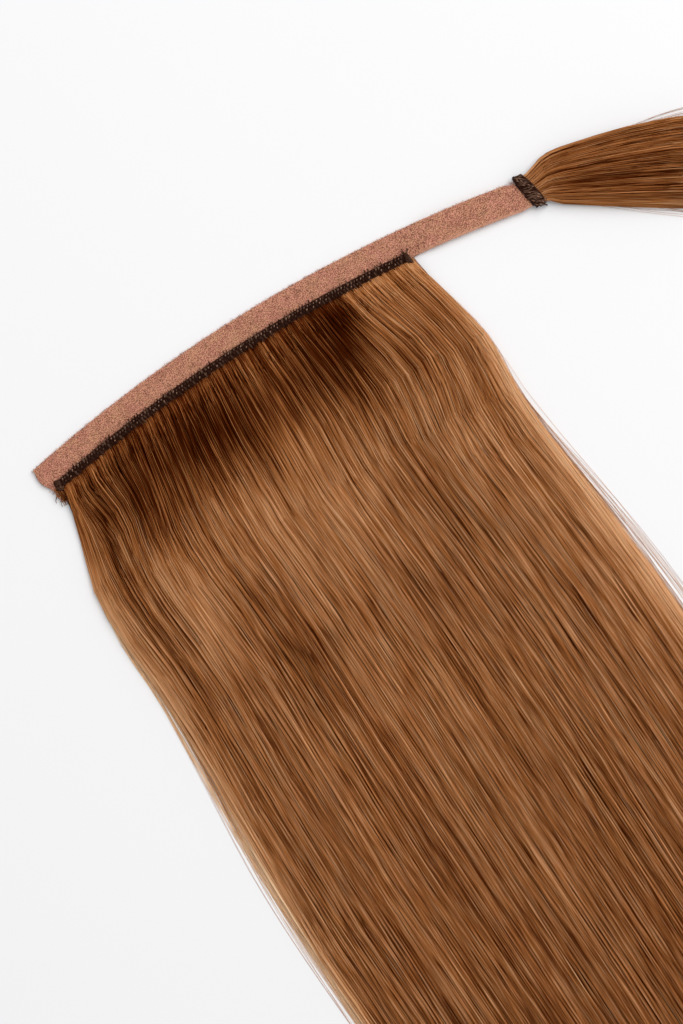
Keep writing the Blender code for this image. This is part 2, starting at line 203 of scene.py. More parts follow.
# Loop tape
# A woven strip of soft loop tape, pinkish brown, with a short brushed pile on top and a bare
# selvedge on each side. The weft is sewn on its lower edge, and its tail lifts a little.
TAPE_BEND = 0.480
TAPE_HALF = 0.0050
TAPE_BODY = 0.00135  # thickness without its pile
WEFT_HALF = 0.0686
TAPE_LEFT = -0.0729
TAPE_RIGHT = 0.1118  # where the tape enters the binding
TAIL_LIFT = 0.0014
TAIL_RISE = 0.012
TAPE_CORNER = 0.0006
CUT_LENGTH = 0.003  # how far the worn cut end at the left reaches
SELVEDGE = -0.0036  # across the tape, where its bare lower selvedge starts
SLANT = math.tan(math.radians(21.0))  # of the tape's bound end
RAGGED_WAVES = (0.023, 0.009, 0.0041)
rng = np.random.default_rng(20)


def ease(start, end, value):
    share = np.clip((np.asarray(value, float) - start) / (end - start), 0.0, 1.0)
    return share * share * (3 - 2 * share)


def beside_tape(along, across, up):
    """Points beside the tape's bent centre line, as an array with x, y, z last."""
    along, across, up = np.broadcast_arrays(along, across, up)
    turn = along / TAPE_BEND
    reach = TAPE_BEND + across
    return np.stack([reach * np.sin(turn), reach * np.cos(turn) - TAPE_BEND, up], axis=-1)


def tape_lift(along):
    return TAIL_LIFT * ease(WEFT_HALF, WEFT_HALF + TAIL_RISE, along)


def add_piece(name, points, corners, sizes, finish, tone, flow=None, uv=None):
    """A mesh object from flat arrays: corner indices, and how many corners each face has."""
    mesh = bpy.data.meshes.new(name)
    mesh.vertices.add(len(points))
    mesh.vertices.foreach_set("co", np.asarray(points, np.float32).ravel())
    mesh.loops.add(len(corners))
    mesh.loops.foreach_set("vertex_index", np.asarray(corners, np.int32))
    mesh.polygons.add(len(sizes))
    starts = np.concatenate([[0], np.cumsum(sizes)[:-1]])
    mesh.polygons.foreach_set("loop_start", starts.astype(np.int32))
    mesh.polygons.foreach_set("loop_total", np.asarray(sizes, np.int32))
    if uv is not None:
        layer = mesh.uv_layers.new(name="OFBake")
        layer.data.foreach_set("uv", np.asarray(uv, np.float32).ravel())
    attribute = mesh.attributes.new("tone", "FLOAT", "POINT")
    attribute.data.foreach_set("value", np.asarray(tone, np.float32).ravel())
    if flow is not None:
        attribute = mesh.attributes.new("flow", "FLOAT_VECTOR", "POINT")
        attribute.data.foreach_set("vector", np.asarray(flow, np.float32).ravel())
    mesh.update(calc_edges=True)
    mesh.validate()
    mesh.shade_smooth()
    mesh.materials.append(finish)
    made = bpy.data.objects.new(name, mesh)
    bpy.context.scene.collection.objects.link(made)
    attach(made, "root")
    return made


def stand_in(node):
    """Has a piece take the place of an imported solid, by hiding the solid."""
    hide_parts(node)


def grid_uv(count, rows, sides):
    """Corners of each strand's own cell in one square map, face by face."""
    columns = int(math.ceil(math.sqrt(count * rows / (sides + 1))))
    lines = int(math.ceil(count / columns))
    cell, row, side, corner = np.ogrid[:count, :rows - 1, :sides, :4]
    across = (side + np.isin(corner, (1, 2))) / sides
    climb = (row + (corner > 1)) / (rows - 1)
    u = (cell % columns + 0.12 + 0.76 * across) / columns
    v = (cell // columns + 0.04 + 0.92 * climb) / lines
    walls = np.stack(np.broadcast_arrays(u, v), axis=-1).reshape(-1, 2)
    caps = np.zeros((count, 2, sides, 2))
    cell = np.arange(count)[:, None]
    turn = 2 * math.pi * np.arange(sides) / sides
    for end, share in enumerate((0.02, 0.98)):
        caps[:, end, :, 0] = (cell % columns + 0.5 + 0.1 * np.cos(turn)) / columns
        caps[:, end, :, 1] = (cell // columns + share + 0.01 * np.sin(turn)) / lines
    return walls, caps.reshape(-1, 2)


def tubes(name, paths, radius, tone, finish, sides=3, roll=0.0, flow=None):
    """Closed round strands in one mesh. paths is strands x points x 3."""
    count, rows, _ = paths.shape
    tangent = np.gradient(paths, axis=1)
    tangent /= np.linalg.norm(tangent, axis=2, keepdims=True) + 1e-12
    reference = np.zeros_like(tangent)
    steep = np.abs(tangent[..., 2]) > 0.9
    reference[..., 2] = ~steep
    reference[..., 0] = steep
    side = np.cross(tangent, reference)
    side /= np.linalg.norm(side, axis=2, keepdims=True) + 1e-12
    over = np.cross(side, tangent)
    turn = 2 * math.pi * np.arange(sides) / sides + math.pi / 2
    turn = turn[:, None] + np.reshape(roll, (-1, 1, 1, 1))
    around = np.cos(turn) * side[:, :, None, :] + np.sin(turn) * over[:, :, None, :]
    radius = np.broadcast_to(radius, (count, rows))
    points = paths[:, :, None, :] + radius[:, :, None, None] * around
    index = np.arange(count * rows * sides).reshape(count, rows, sides)
    following = np.roll(index, -1, axis=2)
    walls = np.stack([index[:, :-1], following[:, :-1], following[:, 1:], index[:, 1:]], axis=-1)
    caps = np.stack([index[:, 0, ::-1], index[:, -1]], axis=1)
    corners = np.concatenate([walls.reshape(-1), caps.reshape(-1)])
    sizes = np.concatenate([
        np.full(count * (rows - 1) * sides, 4), np.full(count * 2, sides),
    ])
    wall_uv, cap_uv = grid_uv(count, rows, sides)
    tone = np.broadcast_to(tone, (count, rows))
    if flow is not None:
        flow = np.repeat(flow.reshape(-1, 3), sides, axis=0)
    return add_piece(
        name, points.reshape(-1, 3), corners, sizes, finish,
        np.repeat(tone.reshape(-1), sides), flow=flow, uv=np.concatenate([wall_uv, cap_uv]),
    )


def ring_body(name, rings, finish, tone=0.0, flow=None):
    """A closed body through rings of points, rows x points x 3, with a fan in each end."""
    rows, count, _ = rings.shape
    index = np.arange(rows * count).reshape(rows, count)
    following = np.roll(index, -1, axis=1)
    walls = np.stack([index[:-1], index[1:], following[1:], following[:-1]], axis=-1)
    first = rows * count
    points = np.concatenate([
        rings.reshape(-1, 3), rings[0].mean(0, keepdims=True), rings[-1].mean(0, keepdims=True),
    ])
    near = np.stack([index[0], following[0], np.full(count, first)], axis=-1)
    far = np.stack([following[-1], index[-1], np.full(count, first + 1)], axis=-1)
    corners = np.concatenate([walls.reshape(-1), near.reshape(-1), far.reshape(-1)])
    sizes = np.concatenate([np.full((rows - 1) * count, 4), np.full(2 * count, 3)])
    tone = np.broadcast_to(tone, (rows, count))
    tone = np.concatenate([tone.reshape(-1), [tone[0].mean(), tone[-1].mean()]])
    if flow is not None:
        flow = np.concatenate([flow.reshape(-1, 3), [flow[0].mean(0), flow[-1].mean(0)]])
    return add_piece(name, points, corners, sizes, finish, tone, flow=flow)


tape_finish, tape_inputs, tape_start = new_finish("tape_loops", roughness=0.95, sheen=0.2)
blotches = grain(tape_start, 0.0022, detail=2.0)
specks = grain(tape_start, 0.00034, detail=1.0)
tape_tone = tape_start.read("tone")
patches = grain(tape_start, 0.0042, detail=1.0) * 0.9 + grain(tape_start, 0.0007) * 1.6 - 0.75
pile_colour = (blotches * 0.6 + specks * 3.4 - 1.50).between(
    patches.between(rgb(126, 62, 46), rgb(116, 70, 42)),
    patches.between(rgb(220, 148, 128), rgb(214, 160, 120)),
)
tape_start.feed(tape_inputs["Base Color"], tape_tone.between(pile_colour, rgb(222, 164, 136)))
specks.bump(tape_inputs, 0.5, 0.0002)

tape_along = np.concatenate([
    np.linspace(TAPE_LEFT, TAPE_LEFT + CUT_LENGTH, 10)[:-1],
    np.linspace(TAPE_LEFT + CUT_LENGTH, TAPE_RIGHT, 300),
])
flat_half = TAPE_HALF - TAPE_CORNER
side_turn = np.linspace(0, math.pi / 2, 4)
outline = [(across, 1.0) for across in np.linspace(-flat_half, flat_half, 18)]
outline += [(flat_half + TAPE_CORNER * math.sin(t), 0.55 + 0.45 * math.cos(t))
            for t in side_turn[1:]]
outline += [(TAPE_HALF - 0.0002, 0.06), (TAPE_HALF - 0.0006, 0.0)]
outline += [(across, 0.0) for across in np.linspace(TAPE_HALF, -TAPE_HALF, 7)[1:-1]]
outline += [(-TAPE_HALF + 0.0006, 0.0), (-TAPE_HALF + 0.0002, 0.06)]
outline += [(-flat_half - TAPE_CORNER * math.cos(t), 0.55 + 0.45 * math.sin(t))
            for t in side_turn[:-1]]
outline = np.array(outline)
across = np.tile(outline[:, 0], (len(tape_along), 1))
height = np.tile(outline[:, 1], (len(tape_along), 1))
cut = (1 - ease(TAPE_LEFT, TAPE_LEFT + CUT_LENGTH, tape_along))[:, None]
cut = cut * (0.0009 * ease(0.0010, TAPE_HALF, across) + 0.0016 * ease(0.0, -TAPE_HALF, across))
ragged = sum(np.sin(2 * math.pi * tape_along / wave + rng.uniform(0, 2 * math.pi))
             for wave in RAGGED_WAVES) / len(RAGGED_WAVES)
across = across * (1 + 0.012 * ragged[:, None])
drawn_in = 1 - 0.11 * ease(TAPE_RIGHT - 0.0045, TAPE_RIGHT, tape_along)[:, None]
slant = SLANT * ease(TAPE_RIGHT - 0.012, TAPE_RIGHT, tape_along)[:, None]
along = tape_along[:, None] + cut - across * slant
grainy = rng.normal(0, 0.00006, height.shape) * (height > 0.9)
rolled = ease(SELVEDGE, -TAPE_HALF, across) * ease(WEFT_HALF, WEFT_HALF + 0.008, along)
up = height * TAPE_BODY * (1 - 0.35 * rolled) + grainy + tape_lift(along) + 0.00002
# The rolled-down lower selvedge of the tail is paler: partly its own bare weave, partly painted
# light from the white table shining through it.
loop_tape = ring_body(
    "loop_tape_body", beside_tape(along, across * drawn_in, up), tape_finish,
    tone=rolled * (height > 0.02) * 0.7,
)
stand_in("loop_tape")

# The pile: short loops standing on the body, thinner on the bare selvedge, and a fuzz of
# them that pokes out past both edges.
PILE_LOOPS = 3700
EDGE_LOOPS = 1500
LOOP_LENGTH = 0.00080
LOOP_HEIGHT = 0.00034
LOOP_RADIUS = 0.000050
UPPER_EDGE_SHARE = 0.62
at_edge = np.arange(PILE_LOOPS + EDGE_LOOPS) >= PILE_LOOPS
pile_along = rng.uniform(TAPE_LEFT + 0.0003, TAPE_RIGHT - 0.0002, len(at_edge))
pile_across = rng.uniform(-TAPE_HALF, TAPE_HALF, len(at_edge))
edge_side = np.where(rng.random(len(at_edge)) < UPPER_EDGE_SHARE, 1.0, -1.0)
pile_across = np.where(at_edge, edge_side * (TAPE_HALF - rng.uniform(0, 0.0003, len(at_edge))),
                       pile_across * 0.985)
on_selvedge = (pile_across < SELVEDGE) & (pile_along > WEFT_HALF + 0.004)
under_weft = (pile_across < -0.0030) & (np.abs(pile_along) < WEFT_HALF)
kept = ~under_weft & ~(on_selvedge & (rng.random(len(at_edge)) < 0.75))
pile_along, pile_across, at_edge, edge_side = [
    values[kept][:, None] for values in (pile_along, pile_across, at_edge, edge_side)
]
each = at_edge.shape
pile_turn = rng.uniform(0, 2 * math.pi, each)
reach = LOOP_LENGTH * rng.uniform(0.5, 1.3, each)
run = np.linspace(-0.5, 0.5, 4)[None, :]
bow = np.cos(math.pi * run)
swing = rng.normal(0, 0.35, each) * bow
loop_along = pile_along + reach * (np.cos(pile_turn) * run - np.sin(pile_turn) * swing)
loop_across = pile_across + reach * (np.sin(pile_turn) * run + np.cos(pile_turn) * swing)
outward = np.where(at_edge, edge_side * rng.uniform(0.1, 0.9, each), 0.0)
loop_across = loop_across + outward * LOOP_LENGTH * 0.45 * bow
lean = rng.uniform(0.35, 1.0, each)
on_edge = np.clip(np.abs(loop_across) - TAPE_HALF + TAPE_CORNER, 0, TAPE_CORNER) / TAPE_CORNER
stand = TAPE_BODY * (1 - 0.45 * on_edge ** 2) + LOOP_HEIGHT * lean * bow * (1 - 0.6 * on_edge)
tape_pile = tubes(
    "loop_tape_pile",
    beside_tape(loop_along, loop_across, stand - 0.00005 + tape_lift(loop_along)),
    LOOP_RADIUS * (0.25 + 0.75 * bow), 0.0, tape_finish,
)
stand_in("loop_tape")

# Hair curtain
# Thousands of straight hairs, sewn at the weft and combed out flat. They leave the stitches in
# small bundles, sink over the tape's edge, swell to a low crown and fall straight to the tips.
HAIR_LENGTH = 0.400
HAIR_WIDTH = 0.157
HAIR_DEPTH = 0.0088
HAIR_EDGE_DEPTH = 0.0009
ROOT_SIDE = -0.0066  # across the tape, at the weft's lower side
ROOT_HEIGHT = 0.0019
STITCH = 0.00116  # from one stitch of the weft to the next
Section = namedtuple("Section", "along left right depth lift turn", defaults=(0.0, 0.0))
CURTAIN = (
    Section(0.000, 0.978, 1.008, 0.16, 1.00),
    Section(0.022, 1.018, 1.036, 0.30, 0.35),
    Section(0.050, 1.068, 1.074, 0.52),
    Section(0.085, 1.132, 1.108, 0.80),
    Section(0.130, 1.144, 1.084, 0.98),
    Section(0.180, 1.130, 1.092, 0.96),
    Section(0.250, 1.142, 1.128, 0.80),
    Section(0.350, 1.180, 1.160, 0.76),
    Section(0.500, 1.186, 1.160, 0.68),
    Section(0.700, 1.168, 1.140, 0.58),
    Section(0.850, 1.145, 1.110, 0.44),
    Section(1.000, 1.100, 1.070, 0.20),
)
Spot = namedtuple("Spot", "across along width length strength")
DENTS = (
    Spot(-0.26, 0.048, 0.20, 0.026, 0.22),
    Spot(0.58, 0.052, 0.13, 0.034, 0.24),
    Spot(-0.78, 0.042, 0.14, 0.022, 0.12),
    Spot(-0.20, 0.235, 0.55, 0.030, 0.08),
)
SWAYS = (  # their strength is a shift across, in metres
    Spot(0.74, 0.078, 0.18, 0.052, 0.0036),
    Spot(-0.84, 0.045, 0.14, 0.030, 0.0024),
    Spot(-0.20, 0.050, 0.22, 0.030, -0.0012),
)
# Soft spots of painted shade, where strength is below 0, and of painted highlight, where it is
# above.
SHADE_AND_SHEEN_SPOTS = (
    Spot(-0.27, 0.036, 0.16, 0.022, -0.12),
    Spot(-0.24, 0.066, 0.12, 0.022, -0.10),
    Spot(0.57, 0.014, 0.085, 0.020, -0.20),
    Spot(0.47, 0.046, 0.110, 0.028, -0.07),
    Spot(0.09, 0.018, 0.120, 0.014, 0.10),
    Spot(0.00, 0.330, 1.000, 0.120, 0.03),
    Spot(0.47, 0.078, 0.050, 0.020, -0.12),
    Spot(-0.67, 0.070, 0.11, 0.032, -0.07),
    Spot(0.85, 0.072, 0.13, 0.026, -0.11),
    Spot(0.74, 0.015, 0.10, 0.016, -0.03),
    Spot(0.00, 0.150, 0.40, 0.050, 0.07),
    Spot(-0.70, 0.145, 0.16, 0.045, 0.09),
    Spot(0.78, 0.165, 0.14, 0.060, 0.11),
    Spot(1.02, 0.300, 0.16, 0.120, 0.11),
    Spot(-0.44, 0.220, 0.20, 0.045, -0.12),
    Spot(-0.35, 0.120, 0.12, 0.030, 0.05),
    Spot(0.50, 0.180, 0.10, 0.060, -0.05),
)
Line = namedtuple("Line", "width tone path")  # path: across and down from the weft, metres
# Lines of painted shade, where tone is below 0, and of painted highlight, where it is above.
SHADE_AND_SHEEN_LINES = (
    Line(0.0014, -0.17, ((-0.0612, 0.014), (-0.0637, 0.022), (-0.0679, 0.038), (-0.0682, 0.050),
                         (-0.0662, 0.064))),
    Line(0.0014, 0.16, ((0.0499, 0.003), (0.0504, 0.010), (0.0527, 0.015), (0.0568, 0.022),
                        (0.0568, 0.031))),
    Line(0.0032, 0.15, ((-0.0540, 0.038), (-0.0540, 0.078))),
    Line(0.0026, -0.12, ((-0.0460, 0.028), (-0.0460, 0.042))),
    Line(0.0012, -0.18, ((0.0478, 0.020), (0.0500, 0.028), (0.0492, 0.035))),
)
LOCK_WIDTHS = (1.00, 0.78, 1.22, 0.90, 1.12, 0.72, 1.18)
TIP_SETBACKS = (0.004, 0.036, 0.012, 0.052, 0.020, 0.000, 0.044)
TIP_SWAYS = (0.10, -0.30, 0.22, -0.08, 0.34, -0.18, 0.05, -0.26)


def column(table, name, share):
    """One column of a table at shares between its rows, on a smooth curve."""
    places = np.array([row.along for row in table])
    values = np.array([getattr(row, name) for row in table])
    slopes = np.gradient(values, places)
    share = np.clip(np.asarray(share, float), 0.0, 1.0)
    i = np.clip(np.searchsorted(places, share, side="right") - 1, 0, len(places) - 2)
    span = places[i + 1] - places[i]
    t = (share - places[i]) / span
    rise = t * t * (3 - 2 * t)
    swing = t * (1 - t) ** 2 * span * slopes[i] - t * t * (1 - t) * span * slopes[i + 1]
    return values[i] + rise * (values[i + 1] - values[i]) + swing


def spots(table, x, row):
    """What the soft round spots of a table add up to."""
    total = np.zeros(np.broadcast(x, row).shape)
    for spot in table:
        across = (x - spot.across) / spot.width
        along = (row - spot.along) / spot.length
        total = total + spot.strength * np.exp(-across ** 2 - along ** 2)
    return total


def curtain_place(share, row, height):
    """A point of the curtain: share of its width, share of its length, height in metres."""
    left = -WEFT_HALF * column(CURTAIN, "left", row)
    right = WEFT_HALF * column(CURTAIN, "right", row)
    root = (2 * share - 1) * WEFT_HALF
    start = (TAPE_BEND + ROOT_SIDE) * np.cos(root / TAPE_BEND) - TAPE_BEND
    x = left + share * (right - left)
    x = x + spots(SWAYS, x / WEFT_HALF, row)
    return np.stack(np.broadcast_arrays(x, start - row * HAIR_LENGTH, height), axis=-1)


def lines(table, x, down):
    """Narrow lines of painted shade and painted highlight that run with the hairs."""
    total = np.zeros(np.broadcast(x, down).shape)
    for line in table:
        places, depths = np.array(line.path).T
        off = (x - np.interp(down, depths, places)) / line.width
        shown = ease(depths[0] - 0.008, depths[0] + 0.004, down)
        shown = shown * (1 - ease(depths[-1] - 0.004, depths[-1] + 0.012, down))
        total = total + line.tone * np.exp(-off ** 2) * shown
    return total


def curtain_lift(row):
    return ROOT_HEIGHT * np.maximum(column(CURTAIN, "lift", row), 0.0)


def rounded(full, share, power):
    """A mat's depth, drawn in to its thin round sides."""
    thin = np.minimum(HAIR_EDGE_DEPTH, full)
    return thin + (full - thin) * np.sqrt(np.clip(1 - np.abs(2 * share - 1) ** power, 0, 1))


def curtain_depth(share, row):
    """How thick the curtain is, with its dents."""
    x = curtain_place(share, row, 0.0)[..., 0] / WEFT_HALF
    full = HAIR_DEPTH * (column(CURTAIN, "depth", row) - spots(DENTS, x, row))
    return rounded(full, share, 5)


def curtain_tone(points, share, row):
    """Painted shade where the hair dips by the weft, painted highlight over its crown and along
    its thin sides, spots and lines of both, and darker towards the tips.
    """
    x = points[..., 0] / WEFT_HALF
    # Painted shade where the hair dips by the weft, weaker at the far left.
    painted_weft_shade = (1 - ease(0.030, 0.110, row)) * (1 - ease(0.54, 0.72, x))
    painted_weft_shade = painted_weft_shade * (0.45 + 0.55 * ease(-0.95, -0.55, x))
    # Painted highlight along both thin sides, where the rim looks pale.
    side = 0.36 * np.exp(-(share / 0.024) ** 2) + 0.30 * np.exp(-((1 - share) / 0.032) ** 2)
    side = side * ease(0.03, 0.12, row)
    # Painted shade and painted highlight in soft spots and narrow lines.
    painted_light = spots(SHADE_AND_SHEEN_SPOTS, x, row) + lines(SHADE_AND_SHEEN_LINES, points[..., 0], row * HAIR_LENGTH)
    return painted_light - 0.27 * painted_weft_shade - 0.15 * (row - 0.12) + side


def curtain_root(home):
    """Where a hair leaves the weft, given where it lies on the crown. The left ones fan out."""
    return np.interp(home, (0.0, 0.09, 0.20, 1.0), (0.0, 0.032, 0.20, 1.0))


Layer = namedtuple("Layer", "name hairs under thickness radius strays")
# A mat of hair: its sizes, its bundles at the root, where its locks part, how much it waves,
# and the functions that shape and shade it.
Mat = namedtuple(
    "Mat",
    "seed width length bundles locks parting waves waver start rise root place lift depth tone"
)
FIELD_WAVES = 7  # soft waves that whole regions of a mat share
TONE_MIDDLE = 0.475
TONE_SPREAD = 0.13  # from hair to hair
TIP_PULL = 0.30  # how far a hair's end draws in to its lock's tip


def combed(layer, seed, rows, mat):
    """A layer of hairs combed over a mat: their paths, radii, tones and flow coordinates.

    Each hair leaves a stitch, spreads to its place on the crown, wavers a little beside its
    neighbours, dips under them now and then, and ends in the tip of its lock.
    """
    draw = np.random.default_rng(seed)
    count = layer.hairs
    each = (count, 1)  # one number for each hair
    home = (np.arange(count)[:, None] + draw.uniform(0, 1, each)) / count
    row = rows[None, :]
    length = row * mat.length
    root = mat.root(home)
    bundle = (np.floor(root * mat.bundles) + 0.5) / mat.bundles
    in_bundle = draw.normal(0, 0.28, each)
    bundle = bundle + in_bundle / mat.bundles
    settle = ease(0.0, 0.10, row)
    spread = root + (home - root) * settle
    share = bundle + (spread - bundle) * ease(0.0, 0.03, row)
    waves = np.zeros((count, len(rows)))
    field = np.random.default_rng(mat.seed)
    for _ in range(FIELD_WAVES):
        across_wave = field.uniform(0.012, 0.050)
        along_wave = field.uniform(0.090, 0.260)
        waves = waves + mat.waves * np.sin(2 * math.pi * (
            home * mat.width / across_wave + length / along_wave + field.random()
        ))
    loose = mat.waver * draw.uniform(0.3, 1.0, each)
    loose = np.where(draw.random(each) < layer.strays, loose * draw.uniform(3, 11, each), loose)
    loose = loose * (0.12 + np.clip(np.minimum(home, 1 - home) / 0.05, 0, 0.88))
    phase = draw.uniform(0, 2 * math.pi, each)
    turn = 2 * math.pi * length / draw.uniform(0.13, 0.45, each)
    own = loose * (np.sin(turn + phase) - np.sin(phase))
    share = share + settle * (waves + own) / mat.width
    widths = np.resize(LOCK_WIDTHS, mat.locks)
    edges = np.concatenate([[0.0], np.cumsum(widths) / widths.sum()])
    lock = np.clip(np.searchsorted(edges, home) - 1, 0, mat.locks - 1)
    setback = np.array(TIP_SETBACKS)[lock % len(TIP_SETBACKS)]
    sway = np.array(TIP_SWAYS)[lock % len(TIP_SWAYS)] * (edges[lock + 1] - edges[lock])
    end = np.clip(1.0 - setback - draw.gamma(1.4, 0.021, each), mat.parting + 0.01, 1.0)
    row = row * end
    into_tip = np.clip((row - mat.parting) / (1 - mat.parting), 0, 1)
    tip = (edges[lock] + edges[lock + 1]) / 2 + sway * into_tip ** 2
    share = share + (tip - share) * TIP_PULL * into_tip ** 1.3
    share = np.clip(share, -0.004, 1.004)
    dip_turn = 2 * math.pi * length / draw.uniform(0.30, 1.20, each)
    dip = 0.5 + 0.5 * np.sin(dip_turn + draw.uniform(0, 2 * math.pi, each))
    sunk = (layer.under + layer.thickness * dip) * ease(-0.03, 0.05, row)
    sunk = sunk * (1 - 0.6 * ease(mat.parting, 1.0, row))
    lift = mat.lift(row)
    height = np.maximum(lift + mat.depth(share, row) - sunk, lift * 0.9 + 1.3 * layer.radius)
    height = mat.start + (height - mat.start) * ease(-0.004, mat.rise, row)
    points = mat.place(share, row, height)
    radius = layer.radius * draw.uniform(0.7, 1.25, each)
    radius = radius * (1 - 0.7 * ease(0.80, 1.0, rows))[None, :]
    near_root = 1 - ease(0.004, 0.05, row)
    bundle_tone = field.normal(0.02, 0.06, mat.bundles + 1)
    own_bundle = np.clip(np.floor(root * mat.bundles).astype(int), 0, mat.bundles)
    own_tone = TONE_SPREAD * np.clip(draw.normal(0, 1, each), -1.8, 1.35)
    tone = TONE_MIDDLE + own_tone + mat.tone(points, share, row)
    # By the root, each bundle has its own tone, and painted shade darkens the hairs at its edges.
    tone = tone + near_root * (bundle_tone[own_bundle] - 0.12 * np.abs(in_bundle))
    # Painted shade on lower hairs where they dip under the others.
    tone = tone - 0.10 * dip * (layer.under > 0)
    flow = np.stack(np.broadcast_arrays(
        home * mat.width, row * mat.length, draw.random(each)
    ), axis=-1)
    return points, radius, tone, flow


def hairs(name, node, paths, radius, tone, flow, roll=0.0):
    piece = tubes(name, paths, radius, tone, hair_finish, roll=roll, flow=flow)
    stand_in(node)


def hair_layers(node, layers, stops, mat, seed):
    """The layers of a mat, from the lowest up, each with the next seed."""
    for seed, layer in enumerate(layers, seed):
        points, radius, tone, flow = combed(layer, seed, np.array(stops) / mat.length, mat)
        roll = np.random.default_rng(seed).uniform(-0.5, 0.5, layer.hairs)
        hairs(layer.name, node, points, radius, tone, flow, roll=roll)


def hair_core(name, node, mat, shares, near, far, sunk, least, base, shading):
    """A closed body under the hairs of a mat, with a low tone: painted shade where it shows
    between them. Spans are given as start, end and count.
    """
    rows = np.concatenate([np.linspace(*near), np.linspace(*far)[1:]])
    share, row = np.meshgrid(np.linspace(*shares), rows)
    thinned = np.clip(mat.depth(share, row) - sunk, least, None)
    thinned = thinned * (1 - 0.75 * ease(mat.parting, rows[-1], row))
    top = mat.place(share, row, mat.lift(row) + thinned)
    low = mat.place(share, row, mat.lift(row) + 0.00005)
    # The low base tone makes the core painted shade between the hairs.
    tone = base + shading * mat.tone(top, share, row)
    flow = np.stack([share * mat.width, row * mat.length, 0 * row], axis=-1)
    piece = ring_body(
        name, np.concatenate([top, low[:, ::-1]], axis=1), hair_finish,
        tone=np.concatenate([tone, tone[:, ::-1]], axis=1),
        flow=np.concatenate([flow, flow[:, ::-1]], axis=1),
    )
    stand_in(node)


hair_finish, hair_inputs, hair_start = new_finish(
    "hair", roughness=0.45, metallic=0.14, gloss=0.0, tint=rgb(240, 190, 140)
)
hair_tone = hair_start.read("tone")
hair_flow = hair_start.read("flow", take="Vector")


def streaks(across, along, between_hairs):
    """Noise drawn out along the hairs, from -0.5 to 0.5."""
    place = hair_flow * (1 / across, 1 / along, between_hairs)
    return hair_start.node("ShaderNodeTexNoise", {}, {"Vector": place, "Detail": 1.0}) - 0.5


hair_down = hair_start.node("ShaderNodeSeparateXYZ", {}, {0: hair_flow}, take=1)
near_weft = hair_start.node(
    "ShaderNodeMapRange", {}, {0: hair_down, 1: 0.005, 2: 0.06, 3: 0.62, 4: 1.0}
)
hair_streaks = (streaks(0.0005, 0.110, 700.0) * 0.40
                + streaks(0.00027, 0.070, 0.0) * 1.10 + streaks(0.0006, 0.200, 0.0) * 0.38
                + streaks(0.0016, 0.400, 0.0) * 0.36 + streaks(0.0042, 0.600, 0.0) * 0.34)
hair_shade = hair_tone + hair_streaks * near_weft
hair_colour = hair_start.node(
    "ShaderNodeValToRGB",
    {"stops": ((0.0, (0.014, 0.0020, 0.0003)), (0.2, (0.105, 0.018, 0.0025)),
               (0.4, (0.490, 0.184, 0.053)), (0.6, (0.760, 0.415, 0.200)),
               (0.8, (0.850, 0.500, 0.270)), (1.0, (0.920, 0.640, 0.400)))},
    {0: hair_shade * 0.8},
)
hair_start.feed(hair_inputs["Base Color"], hair_colour)

curtain_mat = Mat(
    seed=11, width=HAIR_WIDTH, length=HAIR_LENGTH, bundles=118, locks=24, parting=0.89,
    waves=0.00017, waver=0.00013, start=0.0023, rise=0.014, root=curtain_root,
    place=curtain_place, lift=curtain_lift, depth=curtain_depth, tone=curtain_tone,
)
hair_core("hair_curtain_core", "hair_curtain", curtain_mat, shares=(0.008, 0.992, 110),
          near=(0.0, 0.2, 34), far=(0.2, 0.93, 24), sunk=0.0016, least=0.0004, base=0.28,
          shading=1.0)
HAIR_STOPS = (-0.0012, 0.001, 0.005, 0.010, 0.017, 0.025, 0.034, 0.044, 0.056, 0.072, 0.095,
              0.130, 0.180, 0.250, 0.335, 0.374, 0.400)  # metres from the weft
LAYERS = (
    Layer("hair_lower_layer", 900, 0.00110, 0.00040, 0.000180, 0.06),
    Layer("hair_middle_layer", 1400, 0.00060, 0.00050, 0.000140, 0.07),
    Layer("hair_upper_layer", 1950, 0.00025, 0.00045, 0.000110, 0.08),
    Layer("hair_top_layer", 1700, 0.00000, 0.00035, 0.000095, 0.09),
)
hair_layers("hair_curtain", LAYERS, HAIR_STOPS, curtain_mat, seed=40)

# Loose hairs that have strayed past both sides of the curtain and lie on the table there.
LOOSE_FLOW = (40.0, 0.2, 0.0)  # how their places stand in for flow coordinates
Wisp = namedtuple(
    "Wisp", "side hairs start_from start_to bulge_from bulge_to rush radius light dark"
)


def stray_hairs(name, node, wisps, mat, seed):
    """Hairs that leave a mat's side at a start, swing out by a bulge and come back to it."""
    draw = np.random.default_rng(seed)
    stops = np.linspace(0, 1, 22)[None, :]
    paths, radii, tones = [], [], []
    for wisp in wisps:
        count = (wisp.hairs, 1)
        start = draw.uniform(wisp.start_from, wisp.start_to, count)
        end = np.minimum(start + draw.uniform(0.35, 0.75, count), 0.98)
        row = start + (end - start) * stops
        bulge = draw.uniform(wisp.bulge_from, wisp.bulge_to, count)
        swell = np.sin(math.pi * stops ** (wisp.rush * draw.uniform(0.8, 1.25, count)))
        waver = 0.0003 * np.sin(stops * draw.uniform(4, 12, count) + 40 * bulge / 0.001)
        outward = bulge * swell + waver - draw.uniform(0.0002, 0.0015, count) * (1 - swell)
        thin = mat.depth(wisp.side, row)
        height = 1.2 * wisp.radius + thin * (1 - 0.95 * swell * (bulge > 0))
        paths.append(mat.place(wisp.side + (2 * wisp.side - 1) * outward / mat.width, row, height))
        radii.append(np.full(count, wisp.radius))
        tones.append(draw.uniform(wisp.dark, wisp.light, count))
    paths = np.concatenate(paths)
    hairs(name, node, paths, np.concatenate(radii), np.concatenate(tones),
          paths * LOOSE_FLOW)
